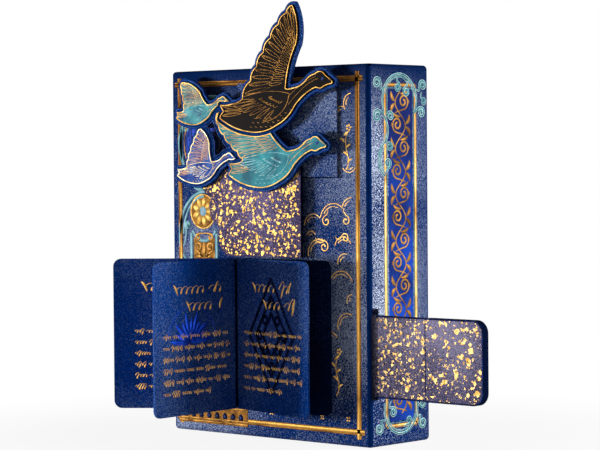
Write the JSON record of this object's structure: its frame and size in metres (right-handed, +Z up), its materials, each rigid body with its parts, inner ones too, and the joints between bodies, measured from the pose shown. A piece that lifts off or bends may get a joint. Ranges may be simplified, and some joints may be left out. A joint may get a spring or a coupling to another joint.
{
  "type": "deck of playing cards",
  "caption": "Deck of playing cards in a tuck case with a mechanical front: a pull strip lifts a die-cut flock of geese above the case and a small booklet turns on its spine",
  "frame": {"origin": "centre of the case's base face", "axes": "+Z up the case, -Y out of the decorated front, +X to the side that the pull strip leaves"},
  "size_m": [0.1013, 0.0545, 0.1076],
  "materials": {
    "blue_carton": "pearlescent navy carton",
    "grey_spacer_board": "plain grey board",
    "card_stock": "coated white card",
    "leaf_paper": "pearlescent navy paper",
    "spatter_board": "navy board with gold leaf flecks",
    "spatter_strip": "navy board with gold leaf flecks",
    "flock_margin_board": "navy die-cut board",
    "dark_print": "black print with gold lines",
    "teal_foil": "teal foil with gold lines",
    "pale_foil": "pale teal foil with gold lines",
    "white_foil": "pale blue foil",
    "rivet_plastic": "moulded rivet"
  },
  "bodies": {
    "case": {"front_panel": "blue_carton", "back_panel": "blue_carton", "left_side_panel": "blue_carton", "right_side_panel": "blue_carton", "seam_flap": "blue_carton", "bottom_outer_flap": "blue_carton", "bottom_dust_flap_left": "blue_carton", "bottom_dust_flap_right": "blue_carton", "bottom_inner_flap": "blue_carton", "pocket_wall": "blue_carton", "lower_rail": "grey_spacer_board", "upper_rail": "grey_spacer_board", "spade_cards": "card_stock", "heart_cards": "card_stock", "club_cards": "card_stock", "diamond_cards": "card_stock", "joker_cards": "card_stock", "spatter_bridge": "spatter_board", "bridge_spacer_side": "grey_spacer_board", "bridge_spacer_base": "grey_spacer_board", "booklet_base_leaf": "leaf_paper"},
    "lid": {"lid_panel": "blue_carton"},
    "tongue": {"lid_tongue": "blue_carton"},
    "left_flap": {"dust_flap_left": "blue_carton"},
    "right_flap": {"dust_flap_right": "blue_carton"},
    "strip": {"pull_strip": "spatter_strip", "grip_front": "spatter_strip", "grip_back": "spatter_strip"},
    "flock": {"carriage_plate": "blue_carton", "cam_rivet": "rivet_plastic", "rivet_washer": "rivet_plastic", "flock_board": "flock_margin_board", "flock_spacer_left": "grey_spacer_board", "flock_spacer_right": "grey_spacer_board", "dark_bird": "dark_print", "teal_bird": "teal_foil", "pale_bird": "pale_foil", "white_bird": "white_foil"},
    "first_leaf": {"booklet_first_leaf": "leaf_paper"},
    "second_leaf": {"booklet_second_leaf": "leaf_paper"},
    "third_leaf": {"booklet_third_leaf": "leaf_paper"}
  },
  "joints": [
    {"name": "lid_hinge", "type": "hinge", "parent": "case", "child": "lid", "pos_m": [0, 0.01135, 0.0914], "axis": [-1, 0, 0], "range_deg": [0, 135]},
    {"name": "tongue_fold", "type": "hinge", "parent": "lid", "child": "tongue", "pos_m": [0, -0.0095, 0.0914], "axis": [1, 0, 0], "range_deg": [0, 81]},
    {"name": "left_flap_fold", "type": "hinge", "parent": "case", "child": "left_flap", "pos_m": [-0.03325, 0, 0.09075], "axis": [0, -1, 0], "range_deg": [0, 81]},
    {"name": "right_flap_fold", "type": "hinge", "parent": "case", "child": "right_flap", "pos_m": [0.03325, 0, 0.09075], "axis": [0, 1, 0], "range_deg": [0, 81]},
    {"name": "strip_slide", "type": "slide", "parent": "case", "child": "strip", "axis": [1, 0, 0], "range_m": [-0.026, 0]},
    {"name": "flock_lift", "type": "slide", "parent": "case", "child": "flock", "axis": [0, 0, 1], "range_m": [-0.0157, 0]},
    {"name": "first_leaf_turn", "type": "hinge", "parent": "case", "child": "first_leaf", "pos_m": [-0.0096, -0.01195, 0.02575], "axis": [0, 0, -1], "range_deg": [-12.5, 12.5]},
    {"name": "second_leaf_turn", "type": "hinge", "parent": "first_leaf", "child": "second_leaf", "pos_m": [-0.00973, -0.01254, 0.02575], "axis": [0, 0, -1], "range_deg": [-74, 11]},
    {"name": "third_leaf_turn", "type": "hinge", "parent": "second_leaf", "child": "third_leaf", "pos_m": [-0.01033, -0.01257, 0.02575], "axis": [0, 0, -1], "range_deg": [-56, 12]}
  ],
  "couplings": [
    {"joint": "tongue_fold", "follows": "lid_hinge", "ratio": 0.6},
    {"joint": "left_flap_fold", "follows": "lid_hinge", "ratio": 0.6},
    {"joint": "right_flap_fold", "follows": "lid_hinge", "ratio": 0.6},
    {"joint": "flock_lift", "follows": "strip_slide", "ratio": 0.60385}
  ]
}
